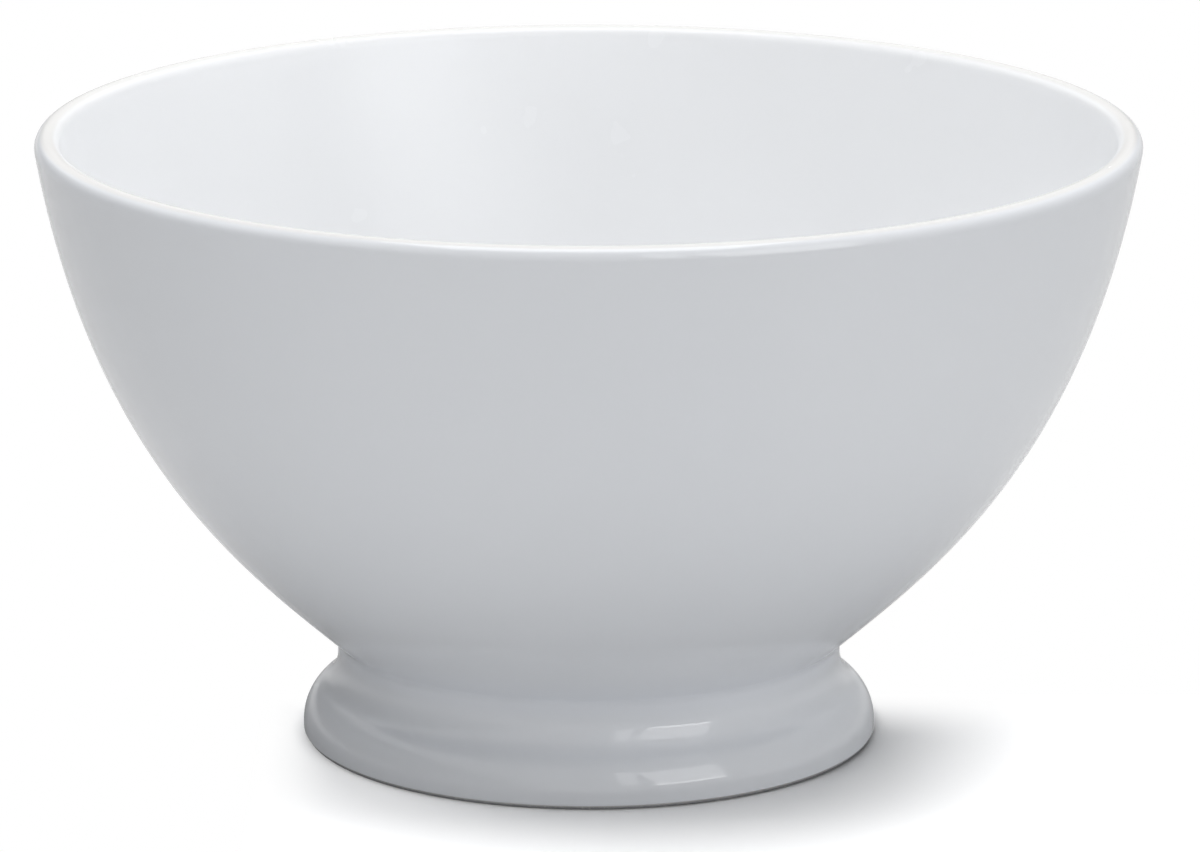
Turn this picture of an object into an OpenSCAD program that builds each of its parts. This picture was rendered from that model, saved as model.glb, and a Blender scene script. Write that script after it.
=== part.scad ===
// A footed latte bowl of glazed porcelain. Its bowl and its hollow foot are shaped apart,
// stuck together with slip and fired, and then glazed everywhere but on the ring it stands on.
// All pieces are turned round the Z axis from outlines in [distance from the axis, height].

/* [Bowl] */
// Outside diameter at the lip
rim_d = 140; // [132:1:150]
// Height from the table to the top of the lip
bowl_h = 79; // [75:0.5:84]
// Thickness of the fully rounded lip, glaze included
lip_t = 3.2; // [2.6:0.1:4]
// Thickness of the wall just above the foot, glaze included
low_wall_t = 5.2; // [4.4:0.1:6]
// Lean of the wall away from upright just under the lip, in degrees
lip_lean = 9.5; // [7:0.5:13]
// Lean of the wall away from upright where it leaves the foot, in degrees
base_lean = 48.5; // [46:0.5:51]
// How far the lip's direction carries down the wall
lip_pull = 39; // [34:0.5:44]
// How far the base's direction carries up the wall
base_pull = 17.6; // [14:0.2:22]
// Height of the inside floor at its centre
floor_h = 9.4; // [9:0.1:11]
// Height of the unglazed underside at its centre
under_h = 5.2; // [4.8:0.1:6]

/* [Foot] */
// Outside diameter at the foot's shoulder
foot_d = 73.6; // [72.8:0.2:75]
// Diameter of the neck between the foot and the bowl
neck_d = 64.6; // [63.6:0.2:65.4]
// Height of the crease between the neck and the wall
crease_h = 12.6; // [12.3:0.1:13.2]
// Height at which the neck turns upright, above the hollow
neck_h = 10.5; // [10:0.1:11]
// Height of the upright side below the shoulder
side_h = 1.5; // [1:0.1:2]
// Radius of the convex shoulder, which runs on into the hollow
shoulder_r = 6; // [5.4:0.1:6.6]
// Width of the flat ring that the bowl stands on
ring_w = 3.2; // [2.8:0.1:3.4]
// Radius of the ring's two worn edges
ring_edge_r = 0.45; // [0.3:0.05:0.45]

/* [Glaze] */
// Thickness of the glaze
glaze_t = 0.25; // [0.2:0.05:0.35]
// Height of the glaze's edge above the table
bare_h = 0.5; // [0.5:0.05:0.9]
// Radius of the glaze in the crease above the neck
crease_r = 0.8; // [0.5:0.1:1.2]

/* [Detail] */
// Steps along each long curve of an outline
long_steps = 24; // [12:1:40]
// Steps along each short curve of an outline
short_steps = 8; // [6:1:12]
// Sides of every round surface in a preview
round_sides = 180; // [60:12:240]

/* [Hidden] */

rim_r = rim_d / 2;
foot_r = foot_d / 2;
neck_r = neck_d / 2;
lip_r = lip_t / 2;
recess_r = foot_r - glaze_t - 2 * ring_edge_r - ring_w;

// Where the floor leaves the wall, from 0 at the foot to 1 at the lip, and how it rounds inwards
floor_join = 0.15;
floor_pull_out = 13;
floor_pull_in = 18;
// How the underside rounds inwards from the crease
under_pull_out = 11.5;
under_pull_in = 14;
// How the cove inside the foot rises from the ring and rounds over to the underside
cove_draft = 11;
cove_pull_low = 5;
cove_pull_high = 3;
// Where the slip shows inside the foot, from 0 to 1 along the cove and along the underside
slip_start = 0.8;
slip_end = 0.3;

// The point and the heading at t, from 0 to 1, along the cubic curve p
function curve(p, t) =
    pow(1 - t, 3) * p[0] + 3 * t * pow(1 - t, 2) * p[1] + 3 * t * t * (1 - t) * p[2] + t * t * t * p[3];
function heading(p, t) =
    pow(1 - t, 2) * (p[1] - p[0]) + 2 * t * (1 - t) * (p[2] - p[1]) + t * t * (p[3] - p[2]);
function unit(v) = v / norm(v);
// The point that lies d to the left of the curve, looking along it
function beside(p, t, d) = curve(p, t) + d * unit([-heading(p, t).y, heading(p, t).x]);
// The point at an angle on a circle, and the direction at an angle from upright
function around(centre, r, angle) = centre + r * [cos(angle), sin(angle)];
function leaning(angle) = [sin(angle), cos(angle)];
// Evenly spaced numbers from a to b, without a or with it
function onward(a, b, n) = [for (i = [1 : n]) a * (1 - i / n) + b * i / n];
function steps(a, b, n) = concat([a], onward(a, b, n));
function backward(list) = [for (i = [len(list) - 1 : -1 : 0]) list[i]];

// Centres and radii of the arcs: the shoulder turns inwards and the hollow turns back as far
shoulder_c = [foot_r - shoulder_r, side_h];
shoulder_turn = 2 * atan2(foot_r - neck_r, neck_h - side_h);
hollow_r = (neck_h - side_h) / sin(shoulder_turn) - shoulder_r;
hollow_c = around(shoulder_c, shoulder_r + hollow_r, shoulder_turn);
crease_c = [neck_r + crease_r, crease_h - crease_r * tan(base_lean / 2)];
lip_c = [rim_r - lip_r, bowl_h - lip_r];
outer_edge_c = [foot_r - glaze_t - ring_edge_r, ring_edge_r];
inner_edge_c = [recess_r + ring_edge_r, ring_edge_r];

// The glazed wall, from the crease up to the lip
wall_start = around(crease_c, crease_r, 180 - base_lean);
wall_end = around(lip_c, lip_r, -lip_lean);
wall = [
    wall_start,
    wall_start + base_pull * leaning(base_lean),
    wall_end - lip_pull * leaning(lip_lean),
    wall_end
];

// The inside of the wall, which thins smoothly from the foot to the lip, at the depth d in it
function wall_t(t) = lip_t + (low_wall_t - lip_t) * pow(1 - t, 2) * (1 + 2 * t);
function inside(t, d) = beside(wall, t, wall_t(t) - d);

// The glazed floor, from the inside of the wall to the axis
floor_start = inside(floor_join, 0);
floor_heading = unit(floor_start - inside(floor_join + 0.01, 0));
floor_curve = [
    floor_start,
    floor_start + floor_pull_out * floor_heading,
    [floor_pull_in, floor_h],
    [0, floor_h]
];

// The unglazed underside, from the crease to the axis
under_start = around(crease_c, crease_r + glaze_t, 180 - base_lean);
under = [
    under_start,
    under_start - under_pull_out * leaning(base_lean),
    [under_pull_in, under_h],
    [0, under_h]
];

// The unglazed cove, from the ring up the inside of the foot and over to the underside
cove_start = [recess_r, bare_h];
cove_end = curve(under, slip_end);
cove = [
    cove_start,
    cove_start + cove_pull_low * leaning(-cove_draft),
    cove_end - cove_pull_high * unit(heading(under, slip_end)),
    cove_end
];

// The outside in stretches that end where pieces meet, sunk by d below the finished surface
function foot_outline(d) = concat(
    [[foot_r - d, bare_h]],
    [for (a = steps(0, shoulder_turn, short_steps)) around(shoulder_c, shoulder_r - d, a)],
    [for (a = onward(180 + shoulder_turn, 180, short_steps)) around(hollow_c, hollow_r + d, a)],
    [around(crease_c, crease_r + d, 180)]
);
function crease_outline(d) =
    [for (a = onward(180, 180 - base_lean, short_steps)) around(crease_c, crease_r + d, a)];
function wall_outline(d) = concat(
    [for (t = onward(0, 1, long_steps)) beside(wall, t, d)],
    [for (a = steps(0, 90, short_steps)) around(lip_c, lip_r - d, a)]
);
function inside_outline(d) = concat(
    [for (a = onward(90, 180 - lip_lean, short_steps)) around(lip_c, lip_r - d, a)],
    [for (t = onward(1, floor_join, long_steps)) inside(t, d)],
    [for (t = onward(0, 1, long_steps)) beside(floor_curve, t, d)]
);
function outside_outline(d) =
    concat(foot_outline(d), crease_outline(d), wall_outline(d), inside_outline(d));

// The recess under the bowl in the same way, raised by d above the unglazed surface
function cove_outline(d) = [for (t = steps(0, slip_start, short_steps)) beside(cove, t, d)];
function slip_outline(d) = [for (t = onward(slip_start, 1, short_steps)) beside(cove, t, d)];
function under_outline(d) = [for (t = onward(slip_end, 1, long_steps)) beside(under, t, d)];
function recess_outline(d) = concat(cove_outline(d), slip_outline(d), under_outline(d));

// The part of the underside that sits in the slip
seat_outline = [for (t = onward(0, slip_end, short_steps)) curve(under, t)];

// What the bowl holds to the brim, as a stack of thin cut cones
function cone_ml(a, b) = PI * (a.y - b.y) * (a.x * a.x + a.x * b.x + b.x * b.x) / 3000;
function stack_ml(list, i = 1) = i < len(list) ? cone_ml(list[i - 1], list[i]) + stack_ml(list, i + 1) : 0;
echo(brimful_ml = round(stack_ml(inside_outline(0))));

module turned(outline) {
    rotate_extrude($fn = round_sides) polygon(outline);
}

// The bowl: its wall, rounded lip, floor and rounded underside
module bowl() {
    color([0.93, 0.92, 0.9]) turned(concat(
        backward(under_outline(0)), backward(seat_outline), [under_start],
        wall_outline(glaze_t), inside_outline(glaze_t)
    ));
}

// The foot: a hollow ring with a bulging shoulder, a drawn-in neck and a slanting seat on top
module foot() {
    color([0.9, 0.89, 0.86]) turned(concat(
        [for (a = steps(-90, 0, short_steps)) around(outer_edge_c, ring_edge_r, a)],
        foot_outline(glaze_t), backward(cove_outline(0)),
        [for (a = steps(180, 270, short_steps)) around(inner_edge_c, ring_edge_r, a)]
    ));
}

// The slip between the foot's seat and the bowl, wiped smooth in the crease and in the cove
module slip_seam() {
    color([0.82, 0.8, 0.77]) turned(concat(
        [around(crease_c, crease_r + glaze_t, 180)], crease_outline(glaze_t),
        seat_outline, [for (t = onward(1, slip_start, short_steps)) curve(cove, t)]
    ));
}

// The glaze over the foot, the wall, the lip and the inside
module glaze() {
    color([0.97, 0.98, 1]) turned(concat(outside_outline(0), backward(outside_outline(glaze_t))));
}

// The glaze in the recess, which the bare ring parts from the rest
module recess_glaze() {
    color([0.95, 0.96, 0.98]) turned(concat(recess_outline(0), backward(recess_outline(glaze_t))));
}

bowl();
foot();
slip_seam();
glaze();
recess_glaze();
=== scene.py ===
# A footed latte bowl of glazed porcelain on a white table, under soft studio light.
# Every piece is turned round the Z axis from an outline, whose points are complex numbers:
# the distance from the axis, and the height as the imaginary part, both in metres.

import cmath
import math

import bpy
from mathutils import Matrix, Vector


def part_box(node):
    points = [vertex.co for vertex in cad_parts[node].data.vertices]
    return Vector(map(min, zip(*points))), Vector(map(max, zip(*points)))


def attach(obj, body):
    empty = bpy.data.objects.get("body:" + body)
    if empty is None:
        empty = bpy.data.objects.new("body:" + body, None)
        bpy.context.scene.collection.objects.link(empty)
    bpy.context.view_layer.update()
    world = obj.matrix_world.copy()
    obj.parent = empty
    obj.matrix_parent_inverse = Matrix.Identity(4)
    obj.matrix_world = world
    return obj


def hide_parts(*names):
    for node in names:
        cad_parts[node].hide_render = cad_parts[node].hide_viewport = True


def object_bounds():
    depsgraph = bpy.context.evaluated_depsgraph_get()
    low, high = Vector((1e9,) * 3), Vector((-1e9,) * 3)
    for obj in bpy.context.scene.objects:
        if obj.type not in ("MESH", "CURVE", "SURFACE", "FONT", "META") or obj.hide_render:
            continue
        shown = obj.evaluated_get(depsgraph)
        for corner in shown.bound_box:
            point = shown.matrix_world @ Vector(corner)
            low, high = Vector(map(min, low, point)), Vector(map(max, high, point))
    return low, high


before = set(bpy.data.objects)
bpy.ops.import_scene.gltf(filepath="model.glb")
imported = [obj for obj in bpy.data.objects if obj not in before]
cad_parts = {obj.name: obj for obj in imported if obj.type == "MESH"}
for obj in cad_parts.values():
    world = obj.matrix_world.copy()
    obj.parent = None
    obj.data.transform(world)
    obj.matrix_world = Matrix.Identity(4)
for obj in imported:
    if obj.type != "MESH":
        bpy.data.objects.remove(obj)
CAD_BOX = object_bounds()

MM = 0.001

# Sizes that model.glb gives
RIM_R = CAD_BOX[1].x
BOWL_H = CAD_BOX[1].z
GLAZE_T = RIM_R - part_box("bowl")[1].x
FOOT_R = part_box("foot")[1].x + GLAZE_T
BARE_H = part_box("glaze")[0].z

# The bowl, in the same values as the model's source
LIP_R = 1.6 * MM
LOW_WALL_T = 5.2 * MM
LIP_LEAN = 9.5
BASE_LEAN = 48.5
LIP_PULL = 39 * MM
BASE_PULL = 17.6 * MM
FLOOR_H = 9.4 * MM
UNDER_H = 5.2 * MM
FLOOR_JOIN = 0.15
FLOOR_PULL_OUT = 13 * MM
FLOOR_PULL_IN = 18 * MM
UNDER_PULL_OUT = 11.5 * MM
UNDER_PULL_IN = 14 * MM

# The foot and the recess in it
NECK_R = 32.3 * MM
CREASE_H = 12.6 * MM
NECK_H = 10.5 * MM
SIDE_H = 1.5 * MM
SHOULDER_R = 6 * MM
RING_W = 3.2 * MM
RING_EDGE_R = 0.45 * MM
CREASE_R = 0.8 * MM
COVE_DRAFT = 11
COVE_PULL_LOW = 5 * MM
COVE_PULL_HIGH = 3 * MM
SLIP_END = 0.3

# Radius of the glaze's face where it pools in the crease
POOL_R = 1.8 * MM

# How finely the outlines and the turned surfaces are cut
LONG_STEPS = 48
ARC_STEPS = 16
SIDES = 240


def curve(p, t):
    """The point at t, from 0 to 1, along the cubic curve p."""
    s = 1 - t
    return s**3 * p[0] + 3 * s * s * t * p[1] + 3 * s * t * t * p[2] + t**3 * p[3]


def heading(p, t):
    """The direction of the curve p at t, at any length."""
    s = 1 - t
    return s * s * (p[1] - p[0]) + 2 * s * t * (p[2] - p[1]) + t * t * (p[3] - p[2])


def unit(v):
    return v / abs(v)


def beside(p, t, depth):
    """The point that lies depth to the left of the curve, looking along it."""
    return curve(p, t) + depth * 1j * unit(heading(p, t))


def around(centre, radius, degrees):
    return centre + cmath.rect(radius, math.radians(degrees))


def leaning(degrees):
    """A direction that leans outwards from upright."""
    return 1j * cmath.rect(1, -math.radians(degrees))


def steps(start, end, count):
    return [start + (end - start) * i / count for i in range(count + 1)]


def arc(centre, radius, start, end):
    return [around(centre, radius, a) for a in steps(start, end, ARC_STEPS)]


def crease_centre(radius):
    """The centre of an arc that rounds the corner between the upright neck and the wall."""
    return complex(NECK_R + radius, CREASE_H - radius * math.tan(math.radians(BASE_LEAN / 2)))


# Centres and radii of the arcs: the shoulder turns inwards and the hollow turns back as far
RECESS_R = FOOT_R - GLAZE_T - 2 * RING_EDGE_R - RING_W
SHOULDER_C = complex(FOOT_R - SHOULDER_R, SIDE_H)
SHOULDER_TURN = 2 * math.degrees(math.atan2(FOOT_R - NECK_R, NECK_H - SIDE_H))
HOLLOW_R = (NECK_H - SIDE_H) / math.sin(math.radians(SHOULDER_TURN)) - SHOULDER_R
HOLLOW_C = around(SHOULDER_C, SHOULDER_R + HOLLOW_R, SHOULDER_TURN)
CREASE_C = crease_centre(CREASE_R)
LIP_C = complex(RIM_R - LIP_R, BOWL_H - LIP_R)
OUTER_EDGE_C = complex(FOOT_R - GLAZE_T - RING_EDGE_R, RING_EDGE_R)
INNER_EDGE_C = complex(RECESS_R + RING_EDGE_R, RING_EDGE_R)

# The glazed wall, from the crease up to the lip
WALL_START = around(CREASE_C, CREASE_R, 180 - BASE_LEAN)
WALL_END = around(LIP_C, LIP_R, -LIP_LEAN)
WALL = [
    WALL_START,
    WALL_START + BASE_PULL * leaning(BASE_LEAN),
    WALL_END - LIP_PULL * leaning(LIP_LEAN),
    WALL_END,
]


def inside(t, depth):
    """A point on the inside of the wall, which thins smoothly from the foot to the lip."""
    thickness = 2 * LIP_R + (LOW_WALL_T - 2 * LIP_R) * (1 - t) ** 2 * (1 + 2 * t)
    return beside(WALL, t, thickness - depth)


# The glazed floor, from the inside of the wall to the axis
FLOOR_START = inside(FLOOR_JOIN, 0)
FLOOR_CURVE = [
    FLOOR_START,
    FLOOR_START + FLOOR_PULL_OUT * unit(FLOOR_START - inside(FLOOR_JOIN + 0.01, 0)),
    complex(FLOOR_PULL_IN, FLOOR_H),
    complex(0, FLOOR_H),
]

# The unglazed underside, from the crease to the axis
UNDER_START = around(CREASE_C, CREASE_R + GLAZE_T, 180 - BASE_LEAN)
UNDER = [
    UNDER_START,
    UNDER_START - UNDER_PULL_OUT * leaning(BASE_LEAN),
    complex(UNDER_PULL_IN, UNDER_H),
    complex(0, UNDER_H),
]

# The unglazed cove, from the ring up the inside of the foot and over to the underside
COVE_START = complex(RECESS_R, BARE_H)
COVE_END = curve(UNDER, SLIP_END)
COVE = [
    COVE_START,
    COVE_START + COVE_PULL_LOW * leaning(-COVE_DRAFT),
    COVE_END - COVE_PULL_HIGH * unit(heading(UNDER, SLIP_END)),
    COVE_END,
]


def crease_arc(depth):
    """The rounding of the crease, sunk by depth. The glaze pools in it, so its face is rounder."""
    radius = CREASE_R if depth else POOL_R
    return arc(crease_centre(radius), radius + depth, 180, 180 - BASE_LEAN)


def foot_outline(depth):
    """The outside of the foot from the shoulder up to the crease, sunk by depth."""
    return (
        arc(SHOULDER_C, SHOULDER_R - depth, 0, SHOULDER_TURN)
        + arc(HOLLOW_C, HOLLOW_R + depth, 180 + SHOULDER_TURN, 180)[1:]
        + crease_arc(depth)[:1]
    )


def bowl_outline(depth):
    """The bowl from the crease over the lip to the middle of the floor, sunk by depth."""
    return (
        crease_arc(depth)[1:]
        + [beside(WALL, t, depth) for t in steps(0, 1, LONG_STEPS)[1:]]
        + arc(LIP_C, LIP_R - depth, 0, 90)
        + arc(LIP_C, LIP_R - depth, 90, 180 - LIP_LEAN)[1:]
        + [inside(t, depth) for t in steps(1, FLOOR_JOIN, LONG_STEPS)[1:]]
        + [beside(FLOOR_CURVE, t, depth) for t in steps(0, 1, LONG_STEPS)[1:]]
    )


def recess_outline(depth):
    """The recess under the bowl from the ring to the middle, raised by depth."""
    return (
        [beside(COVE, t, depth) for t in steps(0, 1, ARC_STEPS)]
        + [beside(UNDER, t, depth) for t in steps(SLIP_END, 1, LONG_STEPS)[1:]]
    )


def turned(name, outline, replaced):
    """A closed solid of revolution. Where the outline meets the axis it has one point, in a fan."""
    points, rings = [], []
    for p in outline:
        on_axis = p.real < 1e-9
        first = len(points)
        count = 1 if on_axis else SIDES
        for i in range(count):
            turn = cmath.rect(0 if on_axis else p.real, 2 * math.pi * i / SIDES)
            points.append((turn.real, turn.imag, p.imag))
        rings.append([first + (0 if on_axis else i) for i in range(SIDES)])
    faces = []
    for low, high in zip(rings, rings[1:] + rings[:1]):
        for i in range(SIDES):
            j = (i + 1) % SIDES
            corners = list(dict.fromkeys((low[i], low[j], high[j], high[i])))
            if len(corners) > 2:
                faces.append(corners)
    mesh = bpy.data.meshes.new(name)
    mesh.from_pydata(points, [], faces)
    mesh.validate()
    mesh.shade_smooth()
    piece = bpy.data.objects.new(name, mesh)
    bpy.context.scene.collection.objects.link(piece)
    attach(piece, "root")
    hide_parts(replaced)
    return piece


def glaze_piece():
    """The glaze outside and in, with a rounded edge above the bare ring."""
    edge = arc(complex(FOOT_R - GLAZE_T, BARE_H + GLAZE_T), GLAZE_T, -90, 0)
    skin = edge + foot_outline(0) + bowl_outline(0)
    back = foot_outline(GLAZE_T) + bowl_outline(GLAZE_T)
    return turned("porcelain_glaze", skin + back[::-1], "glaze")


def recess_glaze_piece():
    """The glaze in the recess, which ends in a rounded edge at the bare ring."""
    skin = recess_outline(GLAZE_T)
    back = recess_outline(0)
    edge = arc(complex(RECESS_R, BARE_H + GLAZE_T), GLAZE_T, -90, -180)
    # The first two points of the skin lie below the top of the rounded edge
    return turned("recess_glaze_skin", back[::-1] + edge + skin[2:], "recess_glaze")


def foot_piece():
    """The biscuit foot, whose ring, with a little wear, is the one bare place."""
    outline = (
        arc(OUTER_EDGE_C, RING_EDGE_R, -90, 0)
        + foot_outline(GLAZE_T)
        + [beside(COVE, t, 0) for t in steps(1, 0, ARC_STEPS)]
        + arc(INNER_EDGE_C, RING_EDGE_R, 180, 270)
    )
    return turned("biscuit_foot", outline, "foot")


# Colours of the materials
WHITE = (1, 1, 1, 1)
GLAZE_COLOUR = (0.885, 0.908, 0.945, 1)
GLAZE_THICK_COLOUR = (0.862, 0.888, 0.935, 1)
# Faintly warm thin glaze on the lip's top, darkened with painted shade
GLAZE_THIN_AND_SHADE_COLOUR = (0.82, 0.815, 0.805, 1)
# Painted light: the glaze inside is lighter, where more light falls
GLAZE_INSIDE_PAINTED_LIGHT_COLOUR = (0.941, 0.951, 0.966, 1)
BISCUIT_COLOUR = (0.78, 0.765, 0.735, 1)
BISCUIT_CLOUD_COLOUR = (0.75, 0.73, 0.695, 1)
# Painted contact shadow with a little grey wear, darkest along the ring's outer edge
BISCUIT_WEAR_AND_SHADE_COLOUR = (0.27, 0.275, 0.29, 1)
SLIP_COLOUR = (0.70, 0.67, 0.62, 1)
SLIP_STROKE_COLOUR = (0.64, 0.61, 0.56, 1)

# Refraction of the glaze and of the fired clay
PORCELAIN_IOR = 1.5

# Sizes of the glaze's patches of colour and gloss, and sizes and depths of its ripples and its peel
DRIFT_SIZE = 38 * MM
GLOSS_SIZE = 9 * MM
RIPPLE_SIZE, RIPPLE_DEPTH = 14 * MM, 0.05 * MM
PEEL_SIZE, PEEL_DEPTH = 1.6 * MM, 0.0025 * MM

# Sizes of the bare clay's clouds and grain, and the depths of its grain and of the slip's strokes
CLOUD_SIZE = 6 * MM
GRAIN_SIZE, GRAIN_DEPTH = 0.35 * MM, 0.03 * MM
STROKE_SCALE, STROKE_DEPTH = 900.0, 0.04 * MM


class Nodes:
    """A short way to add nodes to one node tree."""

    def __init__(self, tree, output):
        self.tree = tree
        tree.nodes.clear()
        self.output = self.add(output)

    def add(self, kind, values=None, **settings):
        """A node with settings, and values that are numbers, colours or other nodes' outputs."""
        node = self.tree.nodes.new(kind)
        for key, value in settings.items():
            setattr(node, key, value)
        for key, value in (values or {}).items():
            if isinstance(value, bpy.types.NodeSocket):
                self.tree.links.new(value, node.inputs[key])
            else:
                node.inputs[key].default_value = value
        return node

    def math(self, operation, a, b):
        return self.add("ShaderNodeMath", {0: a, 1: b}, operation=operation).outputs["Value"]

    def vector(self, operation, output, *values):
        node = self.add("ShaderNodeVectorMath", dict(enumerate(values)), operation=operation)
        return node.outputs[output]

    def ray(self, kind):
        return self.add("ShaderNodeLightPath").outputs[kind]

    def blend(self, fac, a, b):
        """One shader that turns into another as fac goes from 0 to 1."""
        return self.add("ShaderNodeMixShader", {0: fac, 1: a, 2: b}).outputs[0]

    def show(self, shader):
        self.tree.links.new(shader, self.output.inputs["Surface"])


class Shader(Nodes):
    """The nodes of one material."""

    def __init__(self, name):
        self.material = bpy.data.materials.new(name)
        self.material.use_nodes = True
        super().__init__(self.material.node_tree, "ShaderNodeOutputMaterial")
        where = self.add("ShaderNodeTexCoord").outputs
        self.place, self.facing = where["Object"], where["Normal"]

    def noise(self, size, detail=2, roughness=0.5):
        """Smooth noise whose patches are about size metres across."""
        values = {"Vector": self.place, "Scale": 1 / size, "Detail": detail, "Roughness": roughness}
        return self.add("ShaderNodeTexNoise", values).outputs["Fac"]

    def ramp(self, fac, low, high, to_low=0.0, to_high=1.0, smooth=False):
        values = {"Value": fac, "From Min": low, "From Max": high, "To Min": to_low, "To Max": to_high}
        how = "SMOOTHSTEP" if smooth else "LINEAR"
        return self.add("ShaderNodeMapRange", values, interpolation_type=how).outputs["Result"]

    def mix(self, fac, a, b):
        """Colour a, which turns into colour b as fac goes from 0 to 1."""
        return self.add("ShaderNodeMix", {0: fac, 6: a, 7: b}, data_type="RGBA").outputs[2]

    def part(self, vector, axis):
        return self.add("ShaderNodeSeparateXYZ", {"Vector": vector}).outputs[axis]

    def distance(self):
        """The distance from the object's origin."""
        return self.vector("LENGTH", "Value", self.place)

    def outward(self):
        """How far a face looks away from the axis: 1 straight away, 0 up or down, -1 at the axis."""
        flat = self.vector("MULTIPLY", "Vector", self.place, (1, 1, 0))
        return self.vector("DOT_PRODUCT", "Value", self.vector("NORMALIZE", "Vector", flat), self.facing)

    def bump(self, height, distance, normal=None):
        values = {"Height": height, "Distance": distance, "Strength": 1.0}
        if normal is not None:
            values["Normal"] = normal
        return self.add("ShaderNodeBump", values).outputs["Normal"]

    def diffuse(self, level):
        return self.add("ShaderNodeBsdfDiffuse", {"Color": (level, level, level, 1)}).outputs[0]

    def glow(self, level):
        """White light of a plain level, which is only seen and doesn't count as a lamp."""
        self.material.cycles.emission_sampling = "NONE"
        return self.add("ShaderNodeEmission", {"Color": WHITE, "Strength": level}).outputs[0]

    def surface(self, values):
        return self.finish(self.add("ShaderNodeBsdfPrincipled", values).outputs["BSDF"])

    def finish(self, shader):
        self.show(shader)
        return self.material


def glaze_material():
    """White glaze: glossy and faintly rippled, bluer where it pools, and less shiny inside, where
    painted light makes it lighter; faintly warm where it is thinner on top of the lip, where painted
    shade darkens it."""
    s = Shader("white_glaze")
    height = s.part(s.place, "Z")
    below = s.ramp(height, 9.5 * MM, 12 * MM, smooth=True)
    above = s.ramp(height, 12.8 * MM, 18 * MM, smooth=True)
    pooled = s.math("SUBTRACT", below, above)
    # Painted shade: the lip's upward-facing top is darkened, over its thin-glaze warmth
    near_rim = s.ramp(height, BOWL_H - 2 * MM, BOWL_H - 1 * MM)
    upward = s.ramp(s.part(s.facing, "Z"), 0.75, 0.97, smooth=True)
    lip = s.math("MULTIPLY", near_rim, upward)
    inner = s.ramp(s.outward(), 0.55, 0.15, smooth=True)
    drift = s.ramp(s.noise(DRIFT_SIZE, detail=3), 0.35, 0.65)
    colour = s.mix(s.math("MULTIPLY", drift, 0.22), GLAZE_COLOUR, GLAZE_THICK_COLOUR)
    colour = s.mix(pooled, colour, GLAZE_THICK_COLOUR)
    # Painted light: faces that look towards the axis get a lighter colour
    colour = s.mix(inner, colour, GLAZE_INSIDE_PAINTED_LIGHT_COLOUR)
    colour = s.mix(lip, colour, GLAZE_THIN_AND_SHADE_COLOUR)
    roughness = s.ramp(s.noise(GLOSS_SIZE, detail=3), 0.3, 0.7, 0.045, 0.075)
    ripple = s.bump(s.noise(RIPPLE_SIZE, detail=1), RIPPLE_DEPTH)
    return s.surface({
        "Base Color": colour,
        "Roughness": s.math("ADD", roughness, s.math("MULTIPLY", inner, 0.2)),
        "IOR": PORCELAIN_IOR,
        "Specular IOR Level": s.ramp(inner, 0.0, 1.0, 0.5, 0.3),
        "Normal": s.bump(s.noise(PEEL_SIZE, detail=2), PEEL_DEPTH, normal=ripple),
    })


def biscuit_material():
    """Bare porcelain: matt, faintly warm and fine-grained, and darker where it stands, with a little
    wear and painted contact shadow, most of it along the outer edge."""
    s = Shader("bare_biscuit")
    grain = s.noise(GRAIN_SIZE, detail=4, roughness=0.7)
    cloud = s.ramp(s.noise(CLOUD_SIZE, detail=3), 0.35, 0.65)
    # Painted contact shadow and a little wear: darker low down, most on the outward edge
    low = s.ramp(s.part(s.place, "Z"), 0.3 * MM, 0.6 * MM, 0.95, 0.0, smooth=True)
    wear_and_contact_shade = s.math("MULTIPLY", low, s.ramp(s.outward(), 0.1, 0.5, 0.3, 1.0, smooth=True))
    wear_and_contact_shade = s.math("MULTIPLY", wear_and_contact_shade, s.ramp(grain, 0.2, 0.5, 0.6, 1.0))
    colour = s.mix(s.math("MULTIPLY", cloud, 0.4), BISCUIT_COLOUR, BISCUIT_CLOUD_COLOUR)
    return s.surface({
        "Base Color": s.mix(wear_and_contact_shade, colour, BISCUIT_WEAR_AND_SHADE_COLOUR),
        "Roughness": s.ramp(grain, 0.3, 0.7, 0.72, 0.92),
        "IOR": PORCELAIN_IOR,
        "Normal": s.bump(grain, GRAIN_DEPTH),
    })


def slip_material():
    """Dried slip, smeared round the joint by a wet brush."""
    s = Shader("dried_slip")
    values = {"Vector": s.place, "Scale": STROKE_SCALE, "Distortion": 6.0, "Detail": 3.0}
    wave = s.add("ShaderNodeTexWave", values, wave_type="BANDS", bands_direction="Z")
    strokes = wave.outputs["Fac"]
    return s.surface({
        "Base Color": s.mix(s.math("MULTIPLY", strokes, 0.5), SLIP_COLOUR, SLIP_STROKE_COLOUR),
        "Roughness": 0.9,
        "IOR": PORCELAIN_IOR,
        "Normal": s.bump(strokes, STROKE_DEPTH),
    })


def dress(obj, material):
    obj.data.materials.clear()
    obj.data.materials.append(material)


# The table: its whites, its size, and how far it lies below the ring so that the two don't flicker
TABLE_WHITE = 0.95
TABLE_BOUNCE = 0.65
TABLE_FAR = 0.7
TABLE_SIZE = 12.0
TABLE_DROP = 0.02 * MM

# Where the shown table turns into white glow: far away, and from front to back and from right to left of
# the foot, but only past the contact line round it. Beside the foot this glow is painted light over the
# bowl's shadow.
FAR_FADE = 150 * MM, 250 * MM
BACK_FADE = -6.5 * MM, 15 * MM
LEFT_FADE = 6 * MM - FOOT_R, -6 * MM - FOOT_R
CONTACT_FADE = FOOT_R, FOOT_R + 2 * MM

# Where the bouncing table turns brighter in the glaze's reflections
BOUNCE_FADE = 0.35, 1.2


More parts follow.
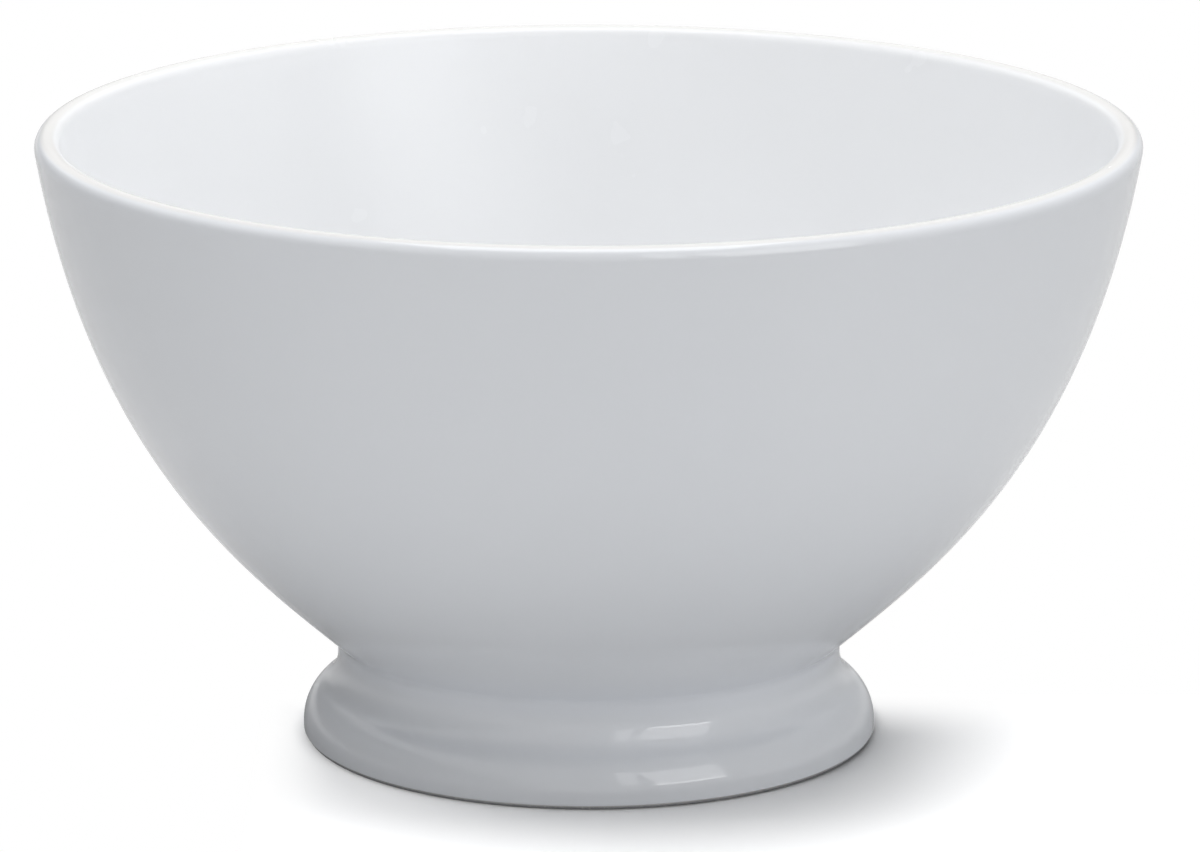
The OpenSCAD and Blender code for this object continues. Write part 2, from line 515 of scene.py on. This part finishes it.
def table_material():
    """A white table that keeps the bowl's shadow in front and fades into the white background."""
    s = Shader("white_table")
    distance = s.distance()
    behind = s.ramp(s.part(s.place, "Y"), *BACK_FADE, smooth=True)
    left = s.ramp(s.part(s.place, "X"), *LEFT_FADE, smooth=True)
    clear = s.ramp(distance, *CONTACT_FADE, smooth=True)
    away = s.ramp(distance, *FAR_FADE, smooth=True)
    # Painted light: white glow beside the foot that covers the shadow the lights cast there
    beside_foot = s.math("MULTIPLY", s.math("MAXIMUM", behind, left), clear)
    fade = s.math("MAXIMUM", away, beside_foot)
    return s.finish(s.blend(fade, s.diffuse(TABLE_WHITE), s.glow(1.0)))


def bounce_material():
    """A pale grey table, which fades in the glaze's reflections into a brighter distance."""
    s = Shader("table_bounce")
    far = s.ramp(s.distance(), *BOUNCE_FADE, smooth=True)
    fade = s.math("MULTIPLY", far, s.ray("Is Glossy Ray"))
    return s.finish(s.blend(fade, s.diffuse(TABLE_BOUNCE), s.glow(TABLE_FAR)))


def board(name, corners, material, unseen):
    """A flat part of the stage, which the named kinds of ray pass through."""
    mesh = bpy.data.meshes.new(name)
    mesh.from_pydata(corners, [], [(0, 1, 2, 3)])
    flat = bpy.data.objects.new(name, mesh)
    for ray in unseen:
        setattr(flat, "visible_" + ray, False)
    bpy.context.scene.collection.objects.link(flat)
    dress(flat, material)
    return flat


def table():
    """The table that shows, and a greyer one under it that only throws light back at the bowl.
    Two groups are made for the lights: one is the shown table, the other all but that table."""
    half = TABLE_SIZE / 2
    square = [(-half, -half), (half, -half), (half, half), (-half, half)]
    high, low = ([(x, y, -drop) for x, y in square] for drop in (TABLE_DROP, 5 * TABLE_DROP))
    top = board("table_top", high, table_material(), ("diffuse", "glossy", "transmission", "shadow"))
    board("table_bounce", low, bounce_material(), ("camera", "shadow"))
    for name, state in (("table", "INCLUDE"), ("all_but_table", "EXCLUDE")):
        group = bpy.data.collections.new(name)
        group.objects.link(top)
        group.collection_objects[0].light_linking.link_state = state


# Each board's name, centre, turn in degrees, length, height and level
FLAGS = [
    ("flag_left", (-0.7, 0.2, 0.25), 0, 5.2, 0.7, 0.3),
    ("flag_right", (0.7, 0.9, 0.25), 0, 2.8, 0.7, 0.6),
    ("flag_back", (0, 2.4, 0.3), 90, 3.4, 1.0, 0.5),
]

# From where to where a board's edge gets clear, from its middle at 0 to its rim at 1
FLAG_EDGE = 1.0, 0.4


def flag(name, centre, turn, length, height, level):
    """A soft-edged grey board seen only in the glaze, which gets darker where it reflects it."""
    half_y, half_z = length / 2, height / 2
    corners = [(0, -half_y, -half_z), (0, half_y, -half_z), (0, half_y, half_z), (0, -half_y, half_z)]
    s = Shader(name)
    offset = s.vector("MULTIPLY", "Vector", s.place, (0, 1 / half_y, 1 / half_z))
    solid = s.ramp(s.vector("LENGTH", "Value", offset), *FLAG_EDGE, smooth=True)
    clear = s.add("ShaderNodeBsdfTransparent").outputs[0]
    material = s.finish(s.blend(solid, clear, s.glow(level)))
    flat = board(name, corners, material, ("camera", "diffuse", "shadow"))
    flat.location, flat.rotation_euler = centre, (0, 0, math.radians(turn))


WORLD_LEVEL = 0.02


def white_world():
    """White to the rays that see it, and an even soft light to the rest."""
    world = bpy.data.worlds.new("white_world")
    bpy.context.scene.world = world
    world.use_nodes = True
    world.cycles.sampling_method = "NONE"
    s = Nodes(world.node_tree, "ShaderNodeOutputWorld")
    seen = s.ray("Is Camera Ray")
    for kind in ("Is Glossy Ray", "Is Transmission Ray"):
        seen = s.math("MAXIMUM", seen, s.ray(kind))
    light, white = (
        s.add("ShaderNodeBackground", {"Color": WHITE, "Strength": level}).outputs[0]
        for level in (WORLD_LEVEL, 1.0)
    )
    s.show(s.blend(seen, light, white))


# The lights in groups: what they shine on, whether they light it, and whether the glaze reflects
# them. Then each light's name, azimuth to the right of the camera's side, elevation, distance,
# width, height and level, which is the brightness of its face, where a white wall is 1
LIGHTS = [
    ("all_but_table", True, True, [
        ("overhead", 0, 90, 1.2, 0.8, 0.8, 2.85),
    ]),
    ("all_but_table", True, False, [
        ("top_front", 0, 66, 1.3, 0.8, 0.8, 0.7),
        ("top_left", 270, 66, 1.3, 0.8, 0.8, 1.05),
        ("top_right", 90, 66, 1.3, 0.8, 0.8, 0.4),
        ("top_back", 180, 60, 1.3, 0.8, 0.8, 2.2),
        ("back_left", 225, 45, 1.4, 0.8, 0.8, 1.7),
        ("back_right", 135, 45, 1.4, 0.8, 0.8, 1.75),
        ("low_left", 270, 14, 1.6, 0.8, 0.7, 0.22),
        ("low_right", 90, 14, 1.6, 0.8, 0.7, 2.5),
        ("low_front", 0, 9, 1.6, 1.2, 0.4, 4.65),
    ]),
    ("all_but_table", False, True, [
        ("window_wide", 41, 26, 1.6, 0.85, 0.9, 2.0),
        ("window_sill", 41, 10.5, 1.6, 0.85, 0.1, 3.6),
        ("window_narrow", 16, 28, 1.6, 0.2, 0.9, 1.6),
    ]),
    ("table", True, False, [
        ("table_over", 0, 90, 1.2, 1.2, 1.2, 8.1),
        ("table_low_left", 268, 18, 1.6, 1.0, 0.7, 4.1),
        ("table_back_left", 225, 25, 1.6, 1.0, 0.6, 6.2),
        ("table_front_left", 315, 25, 1.6, 1.0, 0.6, 5.0),
        ("table_back", 180, 25, 1.6, 1.0, 0.6, 7.4),
    ]),
]
LIGHT_AIM_H = 30 * MM


def softbox(name, azimuth, elevation, distance, width, height, level):
    """A plain soft light, aimed at the bowl, that the camera doesn't see."""
    light = bpy.data.lights.new(name, "AREA")
    light.shape = "RECTANGLE"
    light.size, light.size_y = width, height
    light.energy = level * math.pi * width * height
    box = bpy.data.objects.new(name, light)
    turn, rise = math.radians(azimuth), math.radians(elevation)
    flat = distance * math.cos(rise)
    up = LIGHT_AIM_H + distance * math.sin(rise)
    box.location = (flat * math.sin(turn), -flat * math.cos(turn), up)
    box.rotation_euler = (math.pi / 2 - rise, 0, turn)
    box.visible_camera = False
    bpy.context.scene.collection.objects.link(box)
    return box


def lights():
    for lit, lights_it, reflected, boxes in LIGHTS:
        for values in boxes:
            box = softbox(*values)
            box.visible_diffuse, box.visible_glossy = lights_it, reflected
            box.light_linking.receiver_collection = bpy.data.collections[lit]


CAMERA_LENS = 210
CAMERA_ELEVATION = 14.17
CAMERA_DISTANCE = 895.2 * MM
CAMERA_AIM = (1.43 * MM, 0, 40 * MM)


def camera():
    """The photograph's camera: long, level from side to side, and a little above the rim."""
    data = bpy.data.cameras.new("camera")
    data.lens = CAMERA_LENS
    data.clip_start, data.clip_end = 0.01, 100
    eye = bpy.data.objects.new("camera", data)
    rise = math.radians(CAMERA_ELEVATION)
    x, y, z = CAMERA_AIM
    eye.location = (x, y - CAMERA_DISTANCE * math.cos(rise), z + CAMERA_DISTANCE * math.sin(rise))
    eye.rotation_euler = (math.pi / 2 - rise, 0, 0)
    bpy.context.scene.collection.objects.link(eye)
    bpy.context.scene.camera = eye


bpy.context.scene.view_settings.view_transform = "Standard"
camera()
white_world()
table()
for values in FLAGS:
    flag(*values)
lights()

white_glaze, bare_biscuit = glaze_material(), biscuit_material()
dress(glaze_piece(), white_glaze)
dress(recess_glaze_piece(), white_glaze)
dress(foot_piece(), bare_biscuit)
dress(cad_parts["bowl"], bare_biscuit)
dress(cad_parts["slip_seam"], slip_material())
